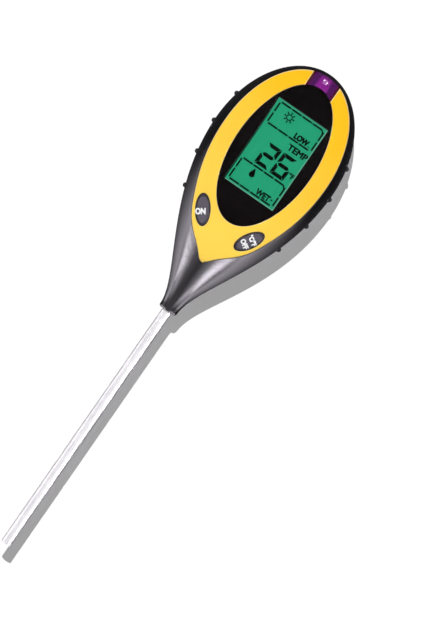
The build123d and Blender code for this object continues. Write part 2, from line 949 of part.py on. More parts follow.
collar_lead_x = -(collar_radius + shoulder_radius + fit_gap) / 2
lead_starts = [(side * electrode_radius / 2, bead_end) for side in sides]
lead_starts.append((collar_lead_x, collar_end))
lead_turn = board_start + lead_bend
lead_parts = [
    wire(
        [at(x, start, axis_height), at(x, lead_turn, axis_height), at(x, lead_turn, board_bottom)],
        probe_lead_radius,
        lead_bend,
    )
    for x, start in lead_starts
]

with BuildPart() as probe_leads:
    for lead_part in lead_parts:
        add(lead_part)
finish(probe_leads, "probe_leads")
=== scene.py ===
from math import acos, cos, radians, sin

import bpy
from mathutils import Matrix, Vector


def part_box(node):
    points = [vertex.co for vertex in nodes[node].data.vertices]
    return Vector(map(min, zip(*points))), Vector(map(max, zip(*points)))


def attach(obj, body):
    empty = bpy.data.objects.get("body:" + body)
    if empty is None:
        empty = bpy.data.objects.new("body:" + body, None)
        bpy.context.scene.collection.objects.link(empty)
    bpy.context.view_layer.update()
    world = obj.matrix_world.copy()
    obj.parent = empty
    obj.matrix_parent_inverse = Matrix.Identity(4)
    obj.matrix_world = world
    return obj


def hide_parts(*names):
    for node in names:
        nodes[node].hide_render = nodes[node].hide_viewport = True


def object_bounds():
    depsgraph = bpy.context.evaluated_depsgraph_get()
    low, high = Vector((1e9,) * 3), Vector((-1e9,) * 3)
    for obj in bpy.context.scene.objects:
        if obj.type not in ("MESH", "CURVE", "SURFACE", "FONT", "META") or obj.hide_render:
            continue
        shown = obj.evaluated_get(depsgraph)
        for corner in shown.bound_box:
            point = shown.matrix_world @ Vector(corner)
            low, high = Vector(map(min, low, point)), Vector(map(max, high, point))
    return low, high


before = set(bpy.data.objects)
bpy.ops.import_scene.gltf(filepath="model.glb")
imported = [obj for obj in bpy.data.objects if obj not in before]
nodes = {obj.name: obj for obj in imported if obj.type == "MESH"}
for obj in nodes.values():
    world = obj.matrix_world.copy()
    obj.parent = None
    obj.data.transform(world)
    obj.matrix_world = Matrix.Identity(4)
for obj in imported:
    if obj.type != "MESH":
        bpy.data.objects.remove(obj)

cadLow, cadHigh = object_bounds()
scene = bpy.context.scene
mm = 0.001
neckEnd = 0.5  # where the head's neck begins to flare along Y, in mm
mergeGap = 2e-6  # points closer than this are one, in metres
roundSteps = 40  # corners of a flat circle
print("frame loaded:", len(nodes), "nodes")


# small helpers for work in the viewport

def clearSelection():
    bpy.ops.object.select_all(action="DESELECT")


def takeUp(piece):
    clearSelection()
    piece.select_set(True)
    bpy.context.view_layer.objects.active = piece


def settle(piece, place=(0, 0, 0), turn=0, size=(1, 1, 1)):
    # puts the piece in its place, and the place into its mesh
    takeUp(piece)
    piece.location = place
    piece.rotation_euler = (0, 0, radians(turn))
    piece.scale = size
    bpy.ops.object.transform_apply(location=True, rotation=True, scale=True)
    return piece


def joinPieces(pieces, name):
    takeUp(pieces[0])
    for piece in pieces[1:]:
        piece.select_set(True)
    bpy.ops.object.join()
    pieces[0].name = name
    pieces[0].data.name = name
    return pieces[0]


def editSelected(piece, kind):
    # edit mode with only the vertices, edges or faces that are already marked
    takeUp(piece)
    scene.tool_settings.mesh_select_mode = (kind == "vertices", kind == "edges", kind == "faces")
    bpy.ops.object.mode_set(mode="EDIT")


def leaveEdit():
    bpy.ops.object.mode_set(mode="OBJECT")


def unmark(mesh):
    for group in (mesh.vertices, mesh.edges, mesh.polygons):
        group.foreach_set("select", [False] * len(group))


def thicken(piece, depth):
    # gives a flat piece its depth, upwards
    takeUp(piece)
    bpy.ops.object.modifier_add(type="SOLIDIFY")
    solidify = piece.modifiers[-1]
    solidify.thickness = depth
    solidify.offset = 1
    bpy.ops.object.modifier_apply(modifier=solidify.name)


def copyNode(nodeName, pieceName):
    # a merged copy of a CAD node's mesh, to be reworked
    piece = bpy.data.objects.new(pieceName, nodes[nodeName].data.copy())
    scene.collection.objects.link(piece)
    takeUp(piece)
    bpy.ops.mesh.customdata_custom_splitnormals_clear()
    bpy.ops.object.mode_set(mode="EDIT")
    bpy.ops.mesh.select_all(action="SELECT")
    bpy.ops.mesh.remove_doubles(threshold=mergeGap)
    leaveEdit()
    return piece


# small helpers for materials

def startMaterial(name):
    material = bpy.data.materials.new(name)
    material.use_nodes = True
    tree = material.node_tree
    return material, tree, tree.nodes["Principled BSDF"]


def addNode(tree, kind, sockets=None, **settings):
    node = tree.nodes.new("ShaderNode" + kind)
    for key, value in settings.items():
        setattr(node, key, value)
    for socket, value in (sockets or {}).items():
        if isinstance(value, bpy.types.NodeSocket):
            tree.links.new(value, node.inputs[socket])
        else:
            node.inputs[socket].default_value = value
    return node


def objectSpace(tree, stretch=(1, 1, 1), turn=(0, 0, 0)):
    place = addNode(tree, "TexCoord").outputs["Object"]
    turned = [radians(angle) for angle in turn]
    mapping = addNode(tree, "Mapping", {"Vector": place, "Rotation": turned, "Scale": stretch})
    return mapping.outputs["Vector"]


def noiseOf(tree, space, scale, detail):
    return addNode(tree, "TexNoise", {"Vector": space, "Scale": scale, "Detail": detail}).outputs["Fac"]


def spread(tree, value, low, high, start=0.3, end=0.7):
    sockets = {"Value": value, "From Min": start, "From Max": end, "To Min": low, "To Max": high}
    return addNode(tree, "MapRange", sockets, interpolation_type="SMOOTHSTEP").outputs["Result"]


def mixColors(tree, share, first, second, blend="MIX"):
    mix = addNode(tree, "Mix", data_type="RGBA", blend_type=blend)
    for socket, value in ((0, share), (6, first), (7, second)):
        if isinstance(value, bpy.types.NodeSocket):
            tree.links.new(value, mix.inputs[socket])
        else:
            mix.inputs[socket].default_value = value if socket == 0 else (*value, 1)
    return mix.outputs[2]


def math(tree, operation, first, second=0.0):
    return addNode(tree, "Math", {0: first, 1: second}, operation=operation).outputs[0]


def addRelief(tree, shader, height, strength, depth):
    bump = addNode(tree, "Bump", {"Height": height, "Strength": strength, "Distance": depth})
    tree.links.new(bump.outputs["Normal"], shader.inputs["Normal"])


# what every plain finish shares
wearSet = {"fleck": 0.08, "depth": 0.03}


def wearMaterial(name, look):
    # a plain finish: colour that drifts slowly, fine grain, roughness and relief from that grain
    material, tree, shader = startMaterial(name)
    space = objectSpace(tree)
    drift = spread(tree, noiseOf(tree, space, look["drift"], detail=3), 0, 1)
    grain = noiseOf(tree, space, look["grain"], detail=6)
    color = mixColors(tree, drift, look["dark"], look["light"])
    change = look.get("fleck", wearSet["fleck"])
    fleck = spread(tree, grain, 1 - change, 1 + change)
    flecks = addNode(tree, "CombineColor", {0: fleck, 1: fleck, 2: fleck}).outputs[0]
    color = mixColors(tree, 1.0, color, flecks, "MULTIPLY")
    tree.links.new(color, shader.inputs["Base Color"])
    tree.links.new(spread(tree, grain, *look["rough"]), shader.inputs["Roughness"])
    addRelief(tree, shader, grain, look["relief"], wearSet["depth"] * mm)
    shader.inputs["Metallic"].default_value = look.get("metal", 0)
    shader.inputs["Specular IOR Level"].default_value = look.get("shine", 0.5)
    shader.inputs["Coat Weight"].default_value = look.get("coat", 0)
    shader.inputs["Alpha"].default_value = look.get("alpha", 1)
    shader.inputs["Emission Color"].default_value = (1, 1, 1, 1)
    shader.inputs["Emission Strength"].default_value = look.get("glow", 0)
    return material


def dress(nodeName, material):
    mesh = nodes[nodeName].data
    mesh.materials.clear()
    mesh.materials.append(material)


def finishPiece(piece, material, body, slot, *replaced):
    piece.data.materials.clear()
    piece.data.materials.append(material)
    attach(piece, body)
    if replaced:
        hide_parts(*replaced)


# camera straight above, turned so that the probe points to the lower left
cameraSet = {"middle": (16.4, 8.2), "away": 4000, "level": 19, "turn": 34.74, "tall": 269.5, "sensor": 36}

cameraData = bpy.data.cameras.new("camera")
cameraData.sensor_width = cameraSet["sensor"]
cameraData.lens = cameraSet["sensor"] * cameraSet["away"] / cameraSet["tall"]
camera = bpy.data.objects.new("camera", cameraData)
cameraHeight = cameraSet["away"] + cameraSet["level"]
camera.location = [value * mm for value in (*cameraSet["middle"], cameraHeight)]
camera.rotation_euler = (0, 0, radians(cameraSet["turn"]))
scene.collection.objects.link(camera)
scene.camera = camera
scene.view_settings.view_transform = "Standard"
print("camera placed")


# light: a small sun for the crisp shadow and a weak room. What shines sees two screens low in front, the
# paper's bounce round them, a glow and a strip along each side, two small lamps and a dim ceiling. Levels
# rise and fall with height; near and far go by the angle from straight ahead, or by Y along the sides.
lightSet = {"sun": 3.30, "sunFrom": (-4.0, 5.8, 19.25), "sunSize": 0.25, "room": 0.10, "dark": 0.034,
            "ceiling": (0.74, 0.2, 0.8), "tint": (1.05, 0.977, 1.089), "aim": 0.7}
screenSet = {"level": 46.5, "tilt": 0.048, "turn": 0.846, "rise": (-0.006, 0.40), "fall": (0.191, 0.363),
             "near": (0.414, 0.744), "far": (0.601, 1.147)}
bounceSet = {"level": 10.0, "tilt": 0.233, "turn": -0.291, "rise": (-1.075, 0.078), "fall": (0.172, 0.866),
             "ahead": 0.448, "near": (0.533, 0.777), "far": (0.50, 1.463), "front": 0.3,
             "frontTo": (0.05, 0.30), "dip": 0.621, "dipFrom": (-0.335, -0.085), "dipTo": (0.126, 0.21)}
sideSet = {"level": 5.8, "rise": (-0.698, 0.037), "fall": (-0.20, 0.555), "near": (-0.735, -0.50),
           "far": (-0.25, -0.05)}
lampSet = {"level": 42, "size": (0.961, 0.988),
           "from": ((-0.808, 0.585, 0.069), (0.884, 0.277, 0.375))}
stripSet = {"level": 1.3, "rise": (-0.30, -0.05), "fall": (0.30, 0.60)}

sunData = bpy.data.lights.new("sun", "SUN")
sunData.energy = lightSet["sun"]
sunData.angle = radians(lightSet["sunSize"])
sun = bpy.data.objects.new("sun", sunData)
sun.rotation_euler = Vector(lightSet["sunFrom"]).to_track_quat("Z", "Y").to_euler()
sun.visible_glossy = False
scene.collection.objects.link(sun)

world = bpy.data.worlds.new("studio")
scene.world = world
world.use_nodes = True
world.cycles.sampling_method = "NONE"
tree = world.node_tree
direction = addNode(tree, "TexCoord").outputs["Generated"]
way = addNode(tree, "SeparateXYZ", {0: direction}).outputs
away = math(tree, "ABSOLUTE", math(tree, "ARCTAN2", way["X"], math(tree, "MULTIPLY", way["Y"], -1)))


def leaned(tilt, turn):
    # height that leans to one side and, about the screens' middle, with the angle from straight ahead
    lean = math(tree, "SUBTRACT", way["Z"], math(tree, "MULTIPLY", way["X"], tilt))
    aside = math(tree, "SUBTRACT", away, lightSet["aim"])
    return math(tree, "ADD", lean, math(tree, "MULTIPLY", aside, turn))


def product(first, *others):
    for other in others:
        first = math(tree, "MULTIPLY", first, other)
    return first


def brightest(first, *others):
    for other in others:
        first = math(tree, "MAXIMUM", first, other)
    return first


def band(value, level, rise, fall):
    # the two factors of a level that rises over one range of a value and falls over another
    return spread(tree, value, 0, level, *rise), spread(tree, value, 1, 0, *fall)


screenHeight = leaned(screenSet["tilt"], screenSet["turn"])
screen = product(
    *band(screenHeight, *[screenSet[key] for key in ("level", "rise", "fall")]),
    *band(away, 1, screenSet["near"], screenSet["far"]))
dip = product(*band(way["Z"], *[bounceSet[key] for key in ("dip", "dipFrom", "dipTo")]))
bounce = product(
    math(tree, "SUBTRACT", 1, dip),
    spread(tree, way["Z"], 0, bounceSet["level"], *bounceSet["rise"]),
    spread(tree, leaned(bounceSet["tilt"], bounceSet["turn"]), 1, 0, *bounceSet["fall"]),
    spread(tree, away, bounceSet["front"], 1, *bounceSet["frontTo"]),
    spread(tree, away, bounceSet["ahead"], 1, *bounceSet["near"]),
    spread(tree, away, 1, 0, *bounceSet["far"]))
sides = product(
    *band(way["Z"], *[sideSet[key] for key in ("level", "rise", "fall")]),
    *band(way["Y"], 1, sideSet["near"], sideSet["far"]))
strip = product(
    *band(way["Z"], *[stripSet[key] for key in ("level", "rise", "fall")]),
    spread(tree, way["Y"], 0, 1, *sideSet["far"]))
lamps = []
for lampFrom in lampSet["from"]:
    facing = addNode(tree, "VectorMath", {0: direction, 1: lampFrom}, operation="DOT_PRODUCT")
    lamps.append(spread(tree, facing.outputs["Value"], 0, lampSet["level"], *lampSet["size"]))
ceilingLevel, ceilingFrom, ceilingTo = lightSet["ceiling"]
ceiling = spread(tree, way["Z"], lightSet["dark"], lightSet["dark"] + ceilingLevel, ceilingFrom, ceilingTo)
shine = math(tree, "ADD", brightest(screen, bounce, sides, strip, *lamps), ceiling)
rayKind = addNode(tree, "LightPath").outputs
screens = addNode(tree, "Background", {"Color": (*lightSet["tint"], 1), "Strength": shine})
room = tree.nodes["Background"]
room.inputs["Color"].default_value = (1, 1, 1, 1)
room.inputs["Strength"].default_value = lightSet["room"]
backdrop = addNode(tree, "Background", {"Color": (1, 1, 1, 1), "Strength": 1.0})
inner = addNode(tree, "MixShader", {
    0: rayKind["Is Glossy Ray"], 1: room.outputs[0], 2: screens.outputs[0]})
outer = addNode(tree, "MixShader", {
    0: rayKind["Is Camera Ray"], 1: inner.outputs[0], 2: backdrop.outputs[0]})
tree.links.new(outer.outputs[0], tree.nodes["World Output"].inputs["Surface"])

floorSet = {"size": 8.0, "dark": (0.698, 0.698, 0.698), "light": (0.702, 0.702, 0.702), "drift": 3,
            "grain": 300, "rough": (0.8, 0.9), "relief": 0.0, "shine": 0.0, "glow": 0.27, "fleck": 0.005}
clearSelection()
bpy.ops.mesh.primitive_plane_add(size=floorSet["size"])
floor = bpy.context.object
floor.name = "floor"
floor.data.materials.append(wearMaterial("floorPaper", floorSet))
floor.visible_glossy = False
floor.visible_diffuse = False
print("light and floor ready")


# black glossy shells, the door and the knob
caseLook = {"dark": (0.006, 0.006, 0.007), "light": (0.009, 0.009, 0.010), "drift": 40, "grain": 2600,
            "rough": (0.10, 0.15), "relief": 0.02, "shine": 0.5}
doorLook = {**caseLook, "rough": (0.42, 0.55), "grain": 3400, "relief": 0.35}
knobLook = {**caseLook, "dark": (0.03, 0.03, 0.033), "light": (0.05, 0.05, 0.054), "rough": (0.45, 0.6)}
caseBlack = wearMaterial("caseBlack", caseLook)
dress("front_case", caseBlack)
dress("rear_case", caseBlack)
dress("battery_door", wearMaterial("doorBlack", doorLook))
dress("mode_knob", wearMaterial("knobGrey", knobLook))

# yellow of the bezel, with painted light: paler towards its tail and its left side, where more light falls,
# and painted highlights on its rounded edges
bezelLook = {"top": (0.955, 0.495, 0.004), "tail": (0.965, 0.640, 0.080), "from": 35, "to": 115,
             "slant": 0.25, "cloud": 35, "wander": 6, "edge": (1.0, 0.86, 0.50), "highlightTilt": (0.60, 0.925),
             "edgeShare": 0.9, "grain": 2200, "rough": (0.30, 0.40), "relief": 0.04, "depth": 0.03}


def makeBezelYellow(look):
    material, tree, shader = startMaterial("bezelYellow")
    space = objectSpace(tree)
    parts = addNode(tree, "SeparateXYZ", {0: space}).outputs
    cloud = noiseOf(tree, space, look["cloud"], detail=3)
    wander = look["wander"] * mm
    along = math(tree, "ADD", parts["Y"], spread(tree, cloud, -wander, wander))
    along = math(tree, "ADD", along, math(tree, "MULTIPLY", parts["X"], look["slant"]))
    share = spread(tree, along, 0, 1, look["from"] * mm, look["to"] * mm)
    # painted light: the face goes paler towards the tail and towards the left side
    face = mixColors(tree, share, look["tail"], look["top"])
    normal = addNode(tree, "TexCoord").outputs["Normal"]
    level = addNode(tree, "SeparateXYZ", {0: normal}).outputs["Z"]
    # painted highlight: where the surface tilts over at the rounded edges it turns paler
    edge = spread(tree, level, look["edgeShare"], 0, *look["highlightTilt"])
    tree.links.new(mixColors(tree, edge, face, look["edge"]), shader.inputs["Base Color"])
    grain = noiseOf(tree, space, look["grain"], detail=5)
    tree.links.new(spread(tree, grain, *look["rough"]), shader.inputs["Roughness"])
    addRelief(tree, shader, grain, look["relief"], look["depth"] * mm)
    return material


bezelYellow = makeBezelYellow(bezelLook)

# clear window, nearly all see-through, and the black print behind it
windowLook = {"dark": (0.006, 0.005, 0.005), "light": (0.008, 0.006, 0.007), "drift": 60, "grain": 900,
              "rough": (0.04, 0.08), "relief": 0.01, "alpha": 0.05, "shine": 0.5}
maskLook = {"dark": (0.0026, 0.0018, 0.0020), "light": (0.0034, 0.0024, 0.0026), "drift": 80, "grain": 3000,
            "rough": (0.4, 0.55), "relief": 0.05, "shine": 0.03}
dress("display_window", wearMaterial("windowClear", windowLook))
dress("window_mask", wearMaterial("maskPrint", maskLook))

# green display: faint streaks in the glass and a paler edge where the polariser ends
glassLook = {"green": (0.0181, 0.384, 0.196), "deep": (0.0150, 0.362, 0.1835), "edge": (0.20, 0.52, 0.38),
             "half": (12.74, 20.95), "middle": 80.7, "edgeIn": 0.15, "edgeWide": 0.55, "edgeShare": 0.75,
             "streaks": 900, "streakStretch": (1, 0.08, 1), "streakTurn": (0, 0, 35), "fine": 4000,
             "rough": (0.35, 0.45), "relief": 0.02, "depth": 0.01, "shine": 0.2}


def makeDisplayGreen(look):
    material, tree, shader = startMaterial("displayGreen")
    space = objectSpace(tree)
    parts = addNode(tree, "SeparateXYZ", {0: space}).outputs
    across = math(tree, "ABSOLUTE", parts["X"])
    along = math(tree, "ABSOLUTE", math(tree, "SUBTRACT", parts["Y"], look["middle"] * mm))
    edges = []
    for value, half in zip((across, along), look["half"]):
        outer = (half - look["edgeIn"]) * mm
        edges.append(spread(tree, value, 0, look["edgeShare"], outer - look["edgeWide"] * mm, outer))
    edge = math(tree, "MAXIMUM", *edges)
    streakSpace = objectSpace(tree, look["streakStretch"], look["streakTurn"])
    streaks = noiseOf(tree, streakSpace, look["streaks"], detail=3)
    fine = noiseOf(tree, space, look["fine"], detail=2)
    green = mixColors(tree, spread(tree, streaks, 0, 1), look["deep"], look["green"])
    color = mixColors(tree, edge, green, look["edge"])
    tree.links.new(color, shader.inputs["Base Color"])
    tree.links.new(spread(tree, fine, *look["rough"]), shader.inputs["Roughness"])
    addRelief(tree, shader, fine, look["relief"], look["depth"] * mm)
    shader.inputs["Specular IOR Level"].default_value = look["shine"]
    return material


dress("lcd_glass", makeDisplayGreen(glassLook))

# purple light window: brighter in the middle, greyer along its outer end, and dark red at its two sides as
# painted shade in the seam with the yellow
purpleLook = {"side": (0.092, 0.005, 0.120), "middle": (0.333, 0.018, 0.345), "outer": (0.095, 0.024, 0.100),
              "rim": (0.110, 0.002, 0.006), "patch": (1.8, 3.0), "end": (118.9, 120.3), "endShare": 0.85,
              "edge": (5.50, 5.80), "cloud": 420, "wander": 0.5, "fine": 2500, "rough": (0.10, 0.18),
              "relief": 0.02, "depth": 0.02, "alpha": 0.55, "shine": 0.2}


def makeLightPurple(look):
    material, tree, shader = startMaterial("lightPurple")
    space = objectSpace(tree)
    parts = addNode(tree, "SeparateXYZ", {0: space}).outputs
    patchRange, endRange, seamShadeRange = [[value * mm for value in look[key]] for key in ("patch", "end", "edge")]
    cloud = noiseOf(tree, space, look["cloud"], detail=3)
    wander = look["wander"] * mm
    wobble = spread(tree, cloud, -wander, wander)
    aside = math(tree, "ABSOLUTE", parts["X"])
    patch = spread(tree, math(tree, "ADD", aside, wobble), 1, 0, *patchRange)
    color = mixColors(tree, patch, look["side"], look["middle"])
    end = spread(tree, math(tree, "ADD", parts["Y"], wobble), 0, look["endShare"], *endRange)
    color = mixColors(tree, end, color, look["outer"])
    # painted shade: dark red along both sides, where the window meets the yellow
    rim = spread(tree, aside, 0, 1, *seamShadeRange)
    color = mixColors(tree, rim, color, look["rim"])
    tree.links.new(color, shader.inputs["Base Color"])
    fine = noiseOf(tree, space, look["fine"], detail=3)
    tree.links.new(spread(tree, fine, *look["rough"]), shader.inputs["Roughness"])
    addRelief(tree, shader, fine, look["relief"], look["depth"] * mm)
    shader.inputs["Alpha"].default_value = look["alpha"]
    shader.inputs["Specular IOR Level"].default_value = look["shine"]
    return material


dress("sensor_window", makeLightPurple(purpleLook))

# keys, with painted shade darkening them round their edge, and their rubber domes
keyLook = {"dark": (0.066, 0.061, 0.076), "light": (0.083, 0.076, 0.094), "edge": (0.006, 0.005, 0.006),
           "grain": 3200, "middle": (12.02, 43.4), "half": (2.95, 6.75), "tilt": 32, "band": (0.80, 0.90),
           "rough": (0.55, 0.68), "relief": 0.12, "depth": 0.03, "shine": 0.35}
domeLook = {"dark": (0.30, 0.30, 0.29), "light": (0.38, 0.38, 0.36), "drift": 300, "grain": 2600,
            "rough": (0.5, 0.62), "relief": 0.08}


def makeKeyGrey(look):
    # the two keys mirror each other, so one ellipse on the right serves both
    material, tree, shader = startMaterial("keyGrey")
    space = objectSpace(tree)
    parts = addNode(tree, "SeparateXYZ", {0: space}).outputs
    folded = addNode(tree, "CombineXYZ", {0: math(tree, "ABSOLUTE", parts["X"]), 1: parts["Y"]}).outputs[0]
    inKey = addNode(tree, "Mapping", {
        "Vector": folded, "Location": [value * mm for value in (*look["middle"], 0)],
        "Rotation": (0, 0, radians(-look["tilt"])), "Scale": (*[value * mm for value in look["half"]], 1)},
        vector_type="TEXTURE").outputs[0]
    reach = addNode(tree, "VectorMath", {0: inKey}, operation="LENGTH").outputs["Value"]
    grain = noiseOf(tree, space, look["grain"], detail=5)
    grey = mixColors(tree, spread(tree, grain, 0, 1), look["dark"], look["light"])
    # painted shade: the key turns near black towards its outline, where the gap and the rounded edge lie in
    # shade
    color = mixColors(tree, spread(tree, reach, 0, 1, *look["band"]), grey, look["edge"])
    tree.links.new(color, shader.inputs["Base Color"])
    tree.links.new(spread(tree, grain, *look["rough"]), shader.inputs["Roughness"])
    addRelief(tree, shader, grain, look["relief"], look["depth"] * mm)
    shader.inputs["Specular IOR Level"].default_value = look["shine"]
    return material


keyGrey = makeKeyGrey(keyLook)
domeRubber = wearMaterial("domeRubber", domeLook)
dress("on_dome", domeRubber)
dress("off_dome", domeRubber)

# drawn steel of the probe: fine and coarse lines along it, a trace of dull bloom
probeLook = {"dark": (0.69, 0.69, 0.70), "light": (0.89, 0.89, 0.90), "lines": 5200,
             "lineStretch": (1, 0.02, 1), "lineShare": 0.25, "drawn": 900, "drawnStretch": (1, 0.004, 1),
             "drawnShare": 0.75, "bloom": 120, "bloomRough": 0.04, "rough": (0.26, 0.38), "relief": 0.06,
             "depth": 0.02, "metal": 0.35}


def makeProbeSteel(look):
    material, tree, shader = startMaterial("probeSteel")
    lines = noiseOf(tree, objectSpace(tree, look["lineStretch"]), look["lines"], detail=4)
    drawn = noiseOf(tree, objectSpace(tree, look["drawnStretch"]), look["drawn"], detail=3)
    bloom = noiseOf(tree, objectSpace(tree), look["bloom"], detail=4)
    drawnPart = spread(tree, drawn, 0, look["drawnShare"])
    streak = math(tree, "ADD", drawnPart, spread(tree, lines, 0, look["lineShare"]))
    tree.links.new(mixColors(tree, streak, look["dark"], look["light"]), shader.inputs["Base Color"])
    dull = spread(tree, bloom, -look["bloomRough"], look["bloomRough"])
    rough = math(tree, "ADD", spread(tree, lines, *look["rough"]), dull)
    tree.links.new(rough, shader.inputs["Roughness"])
    addRelief(tree, shader, lines, look["relief"], look["depth"] * mm)
    shader.inputs["Metallic"].default_value = look["metal"]
    return material


dress("probe_tube", makeProbeSteel(probeLook))
tipLook = {"dark": (0.72, 0.72, 0.70), "light": (0.80, 0.80, 0.78), "drift": 500, "grain": 3000,
           "rough": (0.4, 0.5), "relief": 0.06}
electrodeLook = {"dark": (0.62, 0.61, 0.58), "light": (0.74, 0.73, 0.70), "drift": 900, "grain": 4200,
                 "rough": (0.28, 0.42), "relief": 0.1, "metal": 0.9}
dress("tip_insulator", wearMaterial("tipWhite", tipLook))
dress("tip_electrode", wearMaterial("electrodeMetal", electrodeLook))

# what is inside: plain working finishes
screwLook = {"dark": (0.42, 0.42, 0.43), "light": (0.58, 0.58, 0.60), "drift": 700, "grain": 5000,
             "rough": (0.28, 0.45), "relief": 0.08, "metal": 1.0}
innerLooks = {
    "whitePlastic": (("lcd_backlight", "lcd_holder"), {
        "dark": (0.76, 0.77, 0.75), "light": (0.84, 0.85, 0.83), "drift": 150, "grain": 2600,
        "rough": (0.4, 0.5), "relief": 0.05}),
    "collarNylon": (("probe_collar",), {
        "dark": (0.62, 0.60, 0.54), "light": (0.70, 0.68, 0.62), "drift": 200, "grain": 2400,
        "rough": (0.4, 0.52), "relief": 0.06}),
    "chipResin": (("controller_chip",), {
        "dark": (0.012, 0.012, 0.013), "light": (0.020, 0.020, 0.021), "drift": 400, "grain": 5200,
        "rough": (0.55, 0.7), "relief": 0.2}),
    "componentGrey": (("board_components",), {
        "dark": (0.10, 0.09, 0.08), "light": (0.20, 0.18, 0.15), "drift": 260, "grain": 3000,
        "rough": (0.3, 0.5), "relief": 0.08}),
    "screwSteel": (("board_screws", "case_screws"), screwLook),
    "switchSteel": (("mode_switch_body",), {
        **screwLook, "dark": (0.50, 0.50, 0.50), "light": (0.62, 0.62, 0.62)}),
    "sensorResin": (("light_sensor",), {
        "dark": (0.60, 0.46, 0.58), "light": (0.72, 0.58, 0.70), "drift": 600, "grain": 2800,
        "rough": (0.12, 0.2), "relief": 0.02}),
    "leadGrey": (("mode_leads", "probe_leads"), {
        "dark": (0.26, 0.26, 0.27), "light": (0.33, 0.33, 0.34), "drift": 300, "grain": 2600,
        "rough": (0.4, 0.5), "relief": 0.05}),
    "leadBlack": (("battery_lead_black",), {
        "dark": (0.010, 0.010, 0.010), "light": (0.018, 0.018, 0.018), "drift": 300, "grain": 2600,
        "rough": (0.38, 0.5), "relief": 0.05}),
    "leadRed": (("battery_lead_red",), {
        "dark": (0.46, 0.012, 0.010), "light": (0.56, 0.020, 0.016), "drift": 300, "grain": 2600,
        "rough": (0.38, 0.5), "relief": 0.05}),
    "snapBlack": (("battery_snap",), {
        "dark": (0.014, 0.014, 0.015), "light": (0.024, 0.024, 0.025), "drift": 200, "grain": 3000,
        "rough": (0.5, 0.65), "relief": 0.15}),
    "padFoam": (("battery_pad",), {
        "dark": (0.09, 0.09, 0.095), "light": (0.15, 0.15, 0.155), "drift": 900, "grain": 1500,
        "rough": (0.85, 0.95), "relief": 0.8, "shine": 0.1}),
    "beadResin": (("thermistor",), {
        "dark": (0.020, 0.018, 0.016), "light": (0.034, 0.030, 0.028), "drift": 600, "grain": 2600,
        "rough": (0.3, 0.42), "relief": 0.06}),
}
for name, (nodeNames, look) in innerLooks.items():
    finish = wearMaterial(name, look)
    for nodeName in nodeNames:
        dress(nodeName, finish)


# circuit board: solder mask over a grid of tracks
boardLook = {"tracks": 260, "gap": 0.045, "mask": (0.008, 0.105, 0.035), "maskLight": (0.010, 0.120, 0.042),
             "track": (0.024, 0.190, 0.070), "weave": 3600, "rough": (0.25, 0.38), "relief": 0.06,
             "depth": 0.02}


def makeBoardGreen(look):
    material, tree, shader = startMaterial("boardGreen")
    space = objectSpace(tree)
    tracks = addNode(tree, "TexBrick", {
        "Vector": space, "Scale": look["tracks"], "Mortar Size": look["gap"], "Color1": (*look["mask"], 1),
        "Color2": (*look["maskLight"], 1), "Mortar": (*look["track"], 1)}).outputs["Color"]
    weave = noiseOf(tree, space, look["weave"], detail=3)
    tree.links.new(tracks, shader.inputs["Base Color"])
    tree.links.new(spread(tree, weave, *look["rough"]), shader.inputs["Roughness"])
    addRelief(tree, shader, weave, look["relief"], look["depth"] * mm)
    return material


dress("circuit_board", makeBoardGreen(boardLook))

# strips that join glass and board: fine stripes across X; wave is the texture's scale for one stripe a metre
stripLook = {"wave": 0.314, "pitch": 0.25, "dark": (0.02, 0.02, 0.02), "light": (0.46, 0.30, 0.30),
             "grain": 3000, "rough": (0.5, 0.65), "relief": 0.06, "depth": 0.02}


def makeStripRubber(look):
    material, tree, shader = startMaterial("stripRubber")
    space = objectSpace(tree)
    scale = look["wave"] / (look["pitch"] * mm)
    wave = addNode(tree, "TexWave", {"Vector": space, "Scale": scale}, bands_direction="X").outputs["Fac"]
    grain = noiseOf(tree, space, look["grain"], detail=3)
    tree.links.new(mixColors(tree, wave, look["dark"], look["light"]), shader.inputs["Base Color"])
    tree.links.new(spread(tree, grain, *look["rough"]), shader.inputs["Roughness"])
    addRelief(tree, shader, grain, look["relief"], look["depth"] * mm)
    return material


dress("contact_strips", makeStripRubber(stripLook))

# battery: bare metal at the terminals' end, a dark wrap over the rest, scuffed along it
batteryLook = {"wrapFrom": (61.9, 62.1), "metal": (0.66, 0.66, 0.64), "metalDark": (0.52, 0.52, 0.50),
               "wrap": (0.050, 0.065, 0.110), "wrapDark": (0.034, 0.046, 0.085), "scuff": 1400,
               "scuffStretch": (1, 0.2, 1), "rough": (0.25, 0.42), "relief": 0.05, "depth": 0.02,
               "metallic": 0.5}


def makeBatteryWrap(look):
    material, tree, shader = startMaterial("batteryWrap")
    along = addNode(tree, "SeparateXYZ", {0: objectSpace(tree)}).outputs["Y"]
    wrapped = spread(tree, along, 0, 1, *[value * mm for value in look["wrapFrom"]])
    scuff = noiseOf(tree, objectSpace(tree, look["scuffStretch"]), look["scuff"], detail=5)
    metal = mixColors(tree, spread(tree, scuff, 0, 1), look["metalDark"], look["metal"])
    wrap = mixColors(tree, spread(tree, scuff, 0, 1), look["wrapDark"], look["wrap"])
    tree.links.new(mixColors(tree, wrapped, metal, wrap), shader.inputs["Base Color"])
    tree.links.new(spread(tree, scuff, *look["rough"]), shader.inputs["Roughness"])
    addRelief(tree, shader, scuff, look["relief"], look["depth"] * mm)
    shader.inputs["Metallic"].default_value = look["metallic"]
    return material


dress("battery", makeBatteryWrap(batteryLook))
print("nodes dressed")


# bezel: the CAD form, its wall drawn in a little for the seam, its outer edge and the sensor cut eased
bezelEdge = {"seam": 0.999, "middle": 79.5, "wallTurn": 30, "upright": 0.2, "level": 0.85, "ease": 0.55,
             "steps": 3, "smooth": 40}


